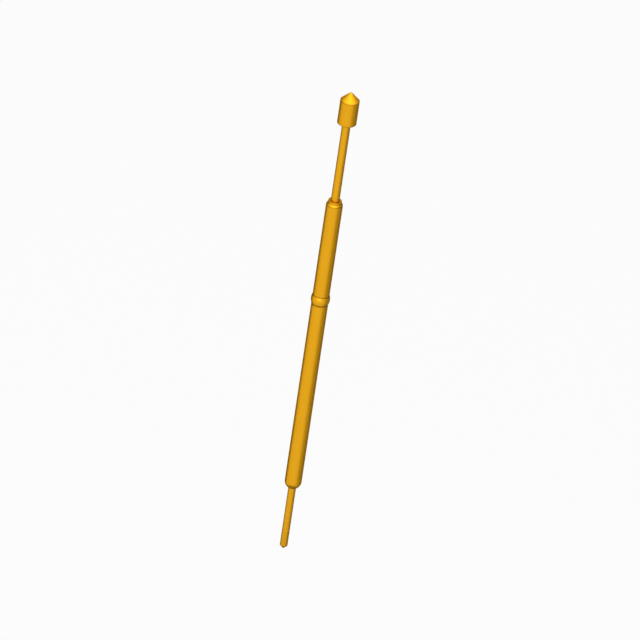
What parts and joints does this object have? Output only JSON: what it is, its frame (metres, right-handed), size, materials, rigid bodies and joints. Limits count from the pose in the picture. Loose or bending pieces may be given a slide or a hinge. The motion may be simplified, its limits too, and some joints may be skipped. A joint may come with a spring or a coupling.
{
  "type": "pogo pin",
  "caption": "Spring-loaded contact pin: a pointed plunger slides in a round barrel that has a press ring and a thin pointed tail.",
  "frame": {"origin": "on the axis, at the underside of the press ring, where the barrel seats in its fixture", "axes": "+Z along the axis towards the contact point; X and Y are alike, because the pin is round"},
  "size_m": [0.0016, 0.0016, 0.0424],
  "materials": {
    "gold_plate": "smooth satin gold plating on turned and drawn metal",
    "spring_wire": "plain drawn spring wire"
  },
  "bodies": {
    "barrel": {"barrel": "gold_plate", "tail_pin": "gold_plate", "spring": "spring_wire"},
    "plunger": {"plunger": "gold_plate"}
  },
  "joints": [
    {"name": "plunger_slide", "type": "slide", "parent": "barrel", "child": "plunger", "axis": [0, 0, -1], "range_m": [0, 0.00635], "stiffness_N_per_m": 250, "springref_m": -0.0016, "deforming": ["spring"]}
  ]
}
